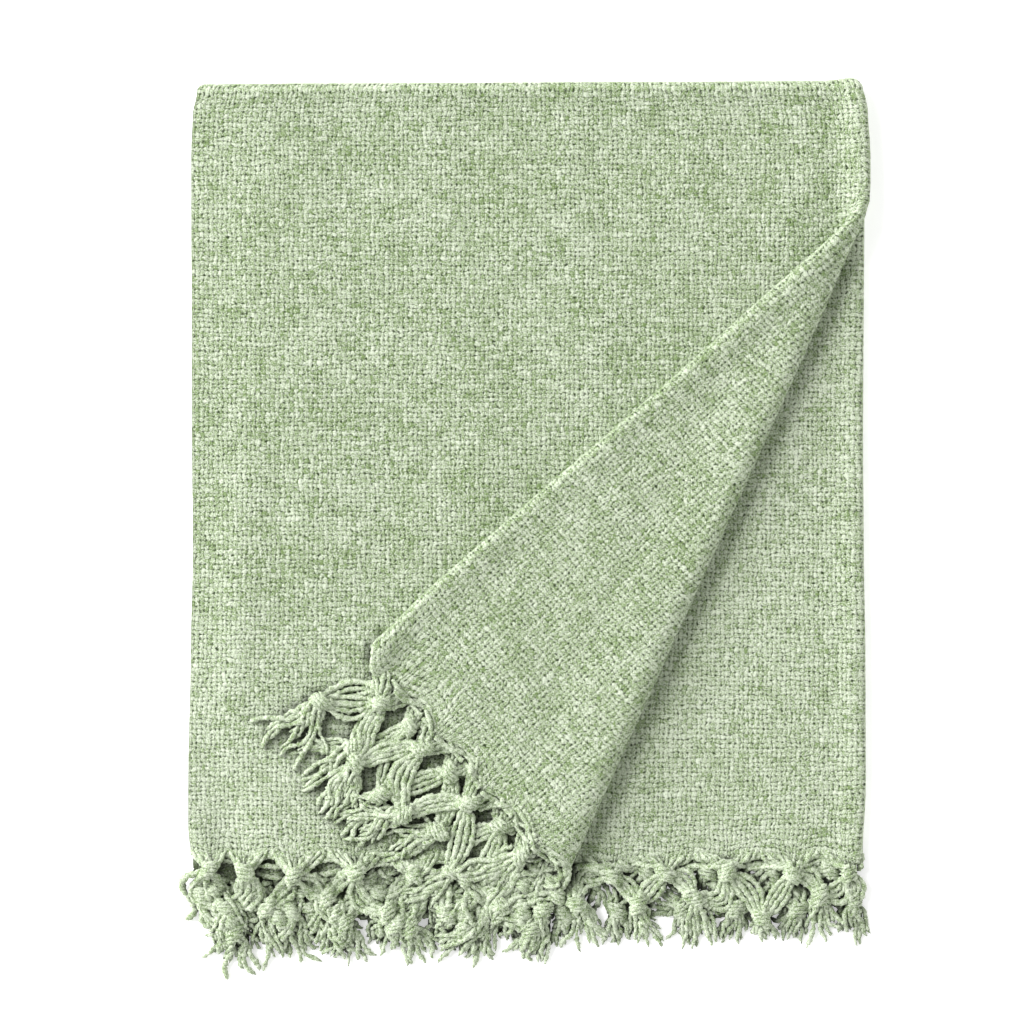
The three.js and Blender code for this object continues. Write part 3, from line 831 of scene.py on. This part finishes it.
woven_in = of_strand("woven_in")
fixed = order < woven_in
ties = np.full((len(strands), 2), -1)
held_links, holders = [], []
for number, strand in enumerate(strands):
    for side, knot in enumerate(strand.knots):
        ties[number, side] = all_knots.index(knot)
        close = np.linalg.norm(strand.links - knot.spot, axis=1) < KNOT_CORE
        held_links.append(starts[number] + np.flatnonzero(close))
        holders.append(np.full(close.sum(), ties[number, side]))
held_links, holders = np.concatenate(held_links), np.concatenate(holders)
held_offsets = spots[held_links] - knot_spots[holders]
held = np.zeros(len(spots), bool)
held[held_links] = True
free = ~(fixed | held)


def joined(gap):
    """Two sets of links, with those `gap` further on and their distance. None is twice in a set."""
    links = np.flatnonzero(order + gap < counts[owner])
    odd = (order[links] // gap) % 2
    sets = [(links[odd == which], links[odd == which] + gap) for which in (0, 1)]
    return [(a, b, np.linalg.norm(spots[b] - spots[a], axis=1)) for a, b in sets]


neighbours, next_neighbours = joined(1), joined(2)


def keep_apart(sets, firmness):
    """Moves joined links along the line between them, towards their first distance."""
    for a, b, length in sets:
        way = spots[b] - spots[a]
        reach = np.linalg.norm(way, axis=1)
        move = way * (firmness * (reach - length) / np.maximum(reach, 1e-6) / 2)[:, None]
        spots[a] += move * free[a][:, None]
        spots[b] -= move * free[b][:, None]


def touching(reach):
    """All pairs of links within reach of each other, found by sorting them into boxes."""
    box = np.floor((spots - spots.min(axis=0)) / reach).astype(np.int64) + 1
    deep, high = box[:, 1].max() + 2, box[:, 2].max() + 2
    key = (box[:, 0] * deep + box[:, 1]) * high + box[:, 2]
    by_key = np.argsort(key, kind="stable")
    sorted_key = key[by_key]
    found = []
    for dx, dy, dz in np.ndindex(3, 3, 3):
        shift = ((dx - 1) * deep + dy - 1) * high + dz - 1
        if shift < 0:
            continue
        low = np.searchsorted(sorted_key, key + shift, "left")
        count = np.searchsorted(sorted_key, key + shift, "right") - low
        a = np.repeat(np.arange(len(key)), count)
        place = np.arange(count.sum()) - np.repeat(np.cumsum(count) - count, count)
        b = by_key[np.repeat(low, count) + place]
        keep = (a < b) if shift == 0 else np.ones(len(a), bool)
        found.append(np.stack([a[keep], b[keep]]))
    a, b = np.concatenate(found, axis=1)
    near = ((spots[a] - spots[b]) ** 2).sum(axis=1) < reach * reach
    near &= (owner[a] != owner[b]) | (np.abs(order[a] - order[b]) > SAME_STRAND_LINKS)
    near &= free[a] | free[b]
    return a[near], b[near]


def push(from_places, to_places, least, firmness=1):
    """How far each second place is pushed, to be that far from its first one."""
    way = to_places - from_places
    reach = np.maximum(np.linalg.norm(way, axis=1), 1e-5)
    return way * (np.maximum(0, least - reach) / reach * firmness)[:, None]


def add_moves(places, which, moves, movable=1):
    for axis in range(3):
        places[:, axis] += movable * np.bincount(which, moves[:, axis], len(places))


def what_lies_under(places, pieces):
    """All four layers lie under the flap's fringe, and those below their own under the others."""
    on_flap = (pieces > 1) & (places[:, 2] > ON_FLAP_ABOVE)
    under = np.where(on_flap, 4, LAYERS_UNDER[pieces])
    return under, np.where(on_flap, HELD_UP_ON_FLAP[pieces], HELD_UP[pieces])


def ground(places, under):
    """The height of the floor, or of the layers under a strand where they reach it."""
    x, y = places[:, 0] - PLACE[0], places[:, 1] - PLACE[1]
    height = np.zeros(len(places))
    for count, layer in enumerate(LAYERS_UP, 1):
        inside = y + FOLDED_LENGTH + END_SLANT[layer] * np.clip(-x / PAIR_WIDTH, 0, 1)
        top = count * LAYER_PITCH * smooth_step(inside, ENDS_FROM, ENDS_TO)
        height = np.where(count <= under, np.maximum(height, top), height)
    return height * loft(x, y)


under_links, held_up = what_lies_under(home, of_strand("piece"))
under_knots, knots_held_up = what_lies_under(knot_home, np.array([knot.piece for knot in all_knots]))
# A tail comes down to the floor again, and the yarns rise from the cloth's edge to their knot.
share = order / np.maximum(1, counts[owner] - 1)
held_up *= ties[owner, 0] >= 0
held_up *= np.where(of_strand("cut"), 1 - TAIL_COMES_DOWN * share, 1)
held_up *= np.where(woven_in > 0, share, 1)
for step in range(FALL_STEPS):
    fall = FALL * min(1, FALL_EASES * (1 - step / FALL_STEPS))
    if step % LOOK_EVERY == 0:
        one, other = touching(THICKNESS + LOOK_BEYOND)
    if step % KNOT_LOOK_EVERY == 0:
        far = np.linalg.norm(spots[:, None, :] - knot_spots[None, :, :], axis=2)
        link, knot = np.nonzero(far < KNOT_REACH + KNOT_LOOK_BEYOND)
        loose = (ties[owner[link]] != knot[:, None]).all(axis=1) & free[link]
        link, knot = link[loose], knot[loose]
        far = np.linalg.norm(knot_spots[:, None] - knot_spots[None], axis=2)
        one_knot, other_knot = np.nonzero(np.triu(far < KNOTS_NEAR, 1))
    spots[free, 2] -= fall
    knot_spots[:, 2] -= fall
    spots[:, :2] += (home[:, :2] - spots[:, :2]) * HOME_PULL * free[:, None]
    knot_spots[:, :2] += (knot_home[:, :2] - knot_spots[:, :2]) * KNOT_HOME_PULL
    move = push(spots[one], spots[other], THICKNESS, STRAND_PUSH)
    add_moves(spots, other, move, free)
    add_moves(spots, one, -move, free)
    move = push(knot_spots[knot], spots[link], KNOT_REACH)
    add_moves(spots, link, STRAND_PUSH * move, free)
    add_moves(knot_spots, knot, -KNOT_YIELD * move)
    move = push(knot_spots[one_knot], knot_spots[other_knot], KNOTS_APART, KNOT_PUSH)
    add_moves(knot_spots, other_knot, move)
    add_moves(knot_spots, one_knot, -move)
    keep_apart(next_neighbours, BEND_FIRMNESS)
    keep_apart(neighbours, LENGTH_FIRMNESS)
    lowest = ground(knot_spots, under_knots) + knots_held_up + KNOT_RADIUS
    knot_spots[:, 2] = np.maximum(knot_spots[:, 2], lowest)
    spots[held_links] = knot_spots[holders] + held_offsets
    lowest = ground(spots, under_links) + held_up + YARN_RADIUS
    spots[free, 2] = np.maximum(spots[free, 2], lowest[free])
spots[:, 2] = np.maximum(spots[:, 2], YARN_RADIUS)

# Painted shade deep in the fringe and on the cloth under it. How far down a place is: the height of the
# yarns round it above it, read from a map of the fringe's upper side. Reaches are in the map's cells.
MAP_CELL, MAP_EDGE, MAP_REACH = 0.0025, 0.03, 4
STRAND_REACH_SQUARED, KNOT_REACH_SQUARED = 1, 5
HARDLY_BURIED, FULLY_BURIED = 0.0025, 0.0080
LEAST_SHARE, FULL_SHARE = 0.2, 0.6
# The creases between yarns get painted shade too.
CREASE_FROM, CREASE_DEPTH, CREASE_SHADE = 0.0009, 0.0025, 0.55
# The lower front fringe also gets painted shade for the cloth over it.
LEAST_BURIED = [0.18, 0, 0, 0]

low_corner = spots[:, :2].min(axis=0) - MAP_EDGE
map_size = np.ceil((spots[:, :2].max(axis=0) + MAP_EDGE - low_corner) / MAP_CELL).astype(int)
upper_side = np.zeros(map_size)


def map_cells(places):
    cells = np.floor((places[:, :2] - low_corner) / MAP_CELL).astype(int)
    return cells[:, 0], cells[:, 1]


def cells_within(reach_squared):
    """The cells round one, as steps across and along."""
    reach = range(-math.isqrt(reach_squared), math.isqrt(reach_squared) + 1)
    return [(across, along) for across in reach for along in reach if across**2 + along**2 <= reach_squared]


def lay_on_map(places, radius, reach_squared):
    for across, along in cells_within(reach_squared):
        cells = map_cells(places + np.array([across, along, 0]) * MAP_CELL)
        np.maximum.at(upper_side, cells, places[:, 2] + radius)


halfway = (spots[1:] + spots[:-1])[owner[1:] == owner[:-1]] / 2
lay_on_map(spots, YARN_RADIUS, 0)
lay_on_map(halfway, YARN_RADIUS, 0)
lay_on_map(spots, 0, STRAND_REACH_SQUARED)
lay_on_map(knot_spots, KNOT_RADIUS, KNOT_REACH_SQUARED)
near_cells = cells_within(MAP_REACH**2 + 1)
crease_cells = cells_within(STRAND_REACH_SQUARED)


# Stores how much painted shade each point gets, for the materials to read.
def mark_painted_shade(shape, places, least=0):
    x, y = map_cells(places)
    x, y = (np.clip(cell, MAP_REACH, size - 1 - MAP_REACH) for cell, size in zip((x, y), map_size))
    share, depth = np.zeros(len(places)), np.zeros(len(places))
    for across, along in near_cells:
        above = upper_side[x + across, y + along] - places[:, 2]
        if (across, along) in crease_cells:
            depth += np.maximum(0, above) / len(crease_cells)
        share += between(above, HARDLY_BURIED, FULLY_BURIED) / len(near_cells)
    painted_shade = shape.attributes.new("painted_shade", "FLOAT", "POINT")
    shaded = (share - LEAST_SHARE) / (FULL_SHARE - LEAST_SHARE)
    crease = CREASE_SHADE * np.clip((depth - CREASE_FROM) / CREASE_DEPTH, 0, 1)
    painted_shade.data.foreach_set("value", np.clip(least + crease + np.maximum(0, shaded), 0, 1))


# The cloth under the fringe gets painted shade too.
mark_painted_shade(cloth_mesh, folded + PLACE + np.array([0, 0, CLOTH_THICK / 2]))

# Each strand becomes a tube, thinner at a cut end. A knot is four turns of yarn side by side round its
# bundle. The pile makes their faces uneven.
RING_STEP = 0.0020
CORNER_ROUNDINGS = 2
PILE_HEIGHT = 0.0006
YARN_UNEVEN, WRAP_UNEVEN, KNOT_UNEVEN = 0.11, 0.08, 0.06
TAIL_TAPER, TIP_TAPER = (1.08, 0.85), [0.9, 0.7, 0.3]
WRAPS, WRAP_TURNS, WRAP_POINTS = 4, 1.4, 30
WRAP_PITCH, WRAP_CREEP, WRAP_SLANT = 0.0034, 0.004, 0.45
WRAP_WIDTH, WRAP_HEIGHT = 1.12, 0.85
# The outer turns are narrower, and each starts and ends tucked in.
OUTER_NARROWER, TUCKED_IN, TUCK_OUT = 0.07, 0.55, 6


def add_tube(curve, path, thickness):
    spline = curve.splines.new("POLY")
    spline.points.add(len(path) - 1)
    spline.points.foreach_set("co", np.column_stack([path, np.ones(len(path))]).ravel())
    spline.points.foreach_set("radius", thickness)


def closer_rings(path):
    rings = np.linspace(0, len(path) - 1, round((len(path) - 1) * LINK / RING_STEP) + 1)
    path = points_along(path, np.arange(len(path)), rings)
    for _ in range(CORNER_ROUNDINGS):
        path[1:-1] = path[1:-1] / 2 + (path[:-2] + path[2:]) / 4
    return path


def add_strand(curve, strand, path):
    thickness = strand.size * chance.normal(1, YARN_UNEVEN, len(path))
    if strand.cut:
        thickness *= np.linspace(*TAIL_TAPER, len(path))
        thickness[-len(TIP_TAPER) :] *= TIP_TAPER
    add_tube(curve, path, thickness)


def add_knot(curve, knot, centre):
    aside, way = np.append(knot.aside, 0) * chance.choice([-1, 1]), np.append(knot.way, 0)
    turn_from, size = chance.uniform(*ANY_PHASE), chance.normal(1, KNOT_UNEVEN)
    share = np.linspace(0, 1, WRAP_POINTS)
    turn = turn_from + share * WRAP_TURNS * 2 * math.pi
    tuck = np.minimum(1, TUCKED_IN + TUCK_OUT * np.minimum(share, 1 - share))
    for wrap in np.arange(WRAPS) - (WRAPS - 1) / 2:
        wide = size * KNOT_RADIUS * (1 - OUTER_NARROWER * wrap**2) * tuck
        forward = wrap * WRAP_PITCH + WRAP_SLANT * wide * np.cos(turn) + WRAP_CREEP * (share - 0.5)
        path = centre + np.outer(WRAP_WIDTH * wide * np.cos(turn), aside) + np.outer(forward, way)
        path[:, 2] += WRAP_HEIGHT * wide * np.sin(turn)
        path[:, 2] = np.maximum(path[:, 2], YARN_RADIUS)
        add_tube(curve, path, chance.normal(1, WRAP_UNEVEN, len(path)))


def fringe_piece(name, piece):
    curve = bpy.data.curves.new(name, "CURVE")
    curve.dimensions = "3D"
    curve.bevel_depth = YARN_RADIUS
    curve.bevel_resolution = 1
    curve.use_fill_caps = True
    for number, strand in enumerate(strands):
        if strand.piece == piece:
            links = spots[starts[number] : starts[number] + counts[number]]
            add_strand(curve, strand, closer_rings(links))
    for knot, centre in zip(all_knots, knot_spots):
        if knot.piece == piece:
            add_knot(curve, knot, centre)
    cord = add_object(name, curve)
    shape = bpy.data.meshes.new_from_object(cord.evaluated_get(bpy.context.evaluated_depsgraph_get()))
    bpy.data.objects.remove(cord)
    welded = bmesh.new()
    welded.from_mesh(shape)
    bmesh.ops.remove_doubles(welded, verts=welded.verts, dist=0.00001)
    bmesh.ops.recalc_face_normals(welded, faces=welded.faces)
    welded.to_mesh(shape)
    welded.free()
    uneven = chance.normal(0, PILE_HEIGHT, len(shape.vertices))[:, None]
    points = read_rows(shape.vertices, "co") + read_rows(shape.vertex_normals, "vector") * uneven
    points[:, 2] = np.maximum(points[:, 2], 0)
    shape.vertices.foreach_set("co", points.ravel())
    mark_painted_shade(shape, points, LEAST_BURIED[piece])
    shape.shade_smooth()
    shape.materials.append(fringe_yarn)
    made = add_object(name, shape)
    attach(made, "root")
    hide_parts("fringe_upper_end" if piece > 1 else "fringe_lower_end")
    return made


# The fringe's yarn is the cloth's. Its pile stands out all round, so it looks a little paler.
FRINGE_PALER = 0.09
# How much painted shade the yarns deep in the fringe get.
FRINGE_BURIED_SHADE = 0.85
TUFT_SCALE, TUFT = 330.0, 1.3
FRINGE_STREAK = (95.0, 0.9, 1.0)

fringe_yarn, tree = with_nodes(bpy.data.materials.new("chenille_yarn"))
object_place = add_node("ShaderNodeTexCoord").outputs["Object"]
pile = noise(object_place, PILE_SCALE)
tuft = noise(object_place, TUFT_SCALE)
paleness = add_up(around_zero(tuft, TUFT), pattern(object_place, *FRINGE_STREAK), FRINGE_PALER)
relief = add_up(times(tuft, TUFT_RELIEF), times(pile, PILE_RELIEF))
finish_yarn(pile_colour(paleness, pile), FRINGE_BURIED_SHADE, relief)

FRINGE_NAMES = ["fringe_lower_front", "fringe_lower_back", "fringe_upper_front", "fringe_upper_back"]
fringes = [fringe_piece(name, piece) for piece, name in enumerate(FRINGE_NAMES)]

# The floor: a plain white sweep under the throw. It gives off a little light, so that it stays white in the
# throw's shadow.
FLOOR_FINISH = {
    "Base Color": (0.95, 0.95, 0.95, 1),
    "Roughness": 0.8,
    "Emission Color": (1, 1, 1, 1),
    "Emission Strength": 0.45,
}
floor_mesh = flat_grid("floor", 1, 1, size=4)
floor_paint, tree = with_nodes(bpy.data.materials.new("floor_white"))
set_sockets(tree.nodes["Principled BSDF"], FLOOR_FINISH)
floor_mesh.materials.append(floor_paint)
add_object("floor", floor_mesh)

# The light: a large soft lamp above and to the upper left, a lower and weaker one beside it, and a pale
# surround, brightest low down and weakest overhead. The lamps' rows are their place, size and power.
LAMPS = {
    "soft_key": ((-9.6, 5.4, 10.2), 6.6, 1900),
    "low_key": ((-12.0, 4.2, 5.0), 5.0, 980),
}
SURROUND_LOW, SURROUND_OVERHEAD = 1.85, 0.08
for name, (place, size, power) in LAMPS.items():
    lamp = bpy.data.lights.new(name, "AREA")
    lamp.shape = "DISK"
    lamp.size = size
    lamp.energy = power
    made = add_object(name, lamp)
    made.location = place
    made.rotation_euler = made.location.to_track_quat("Z", "Y").to_euler()

world, tree = with_nodes(bpy.data.worlds.new("studio"))
overhead = separate(add_node("ShaderNodeTexCoord").outputs["Generated"])[2]
set_sockets(tree.nodes["Background"], {"Color": (1, 1, 1, 1)})
surround = rescale(overhead, 0.0, 1.0, SURROUND_LOW, SURROUND_OVERHEAD)
tree.links.new(surround, tree.nodes["Background"].inputs["Strength"])
bpy.context.scene.world = world
bpy.context.scene.view_settings.view_transform = "Standard"

# The camera looks straight down. The frame is 961.5 mm across at the height of the upper layer.
FRAME_PIXELS, PIXEL = 1024, 0.000939
UPPER_LAYER, CAMERA_ABOVE = 0.02, 2.5
camera_data = bpy.data.cameras.new("overhead")
camera_data.lens = camera_data.sensor_width * CAMERA_ABOVE / (FRAME_PIXELS * PIXEL)
camera = add_object("overhead", camera_data)
camera.location = (-0.0174, 0.0135, CAMERA_ABOVE + UPPER_LAYER)
bpy.context.scene.camera = camera
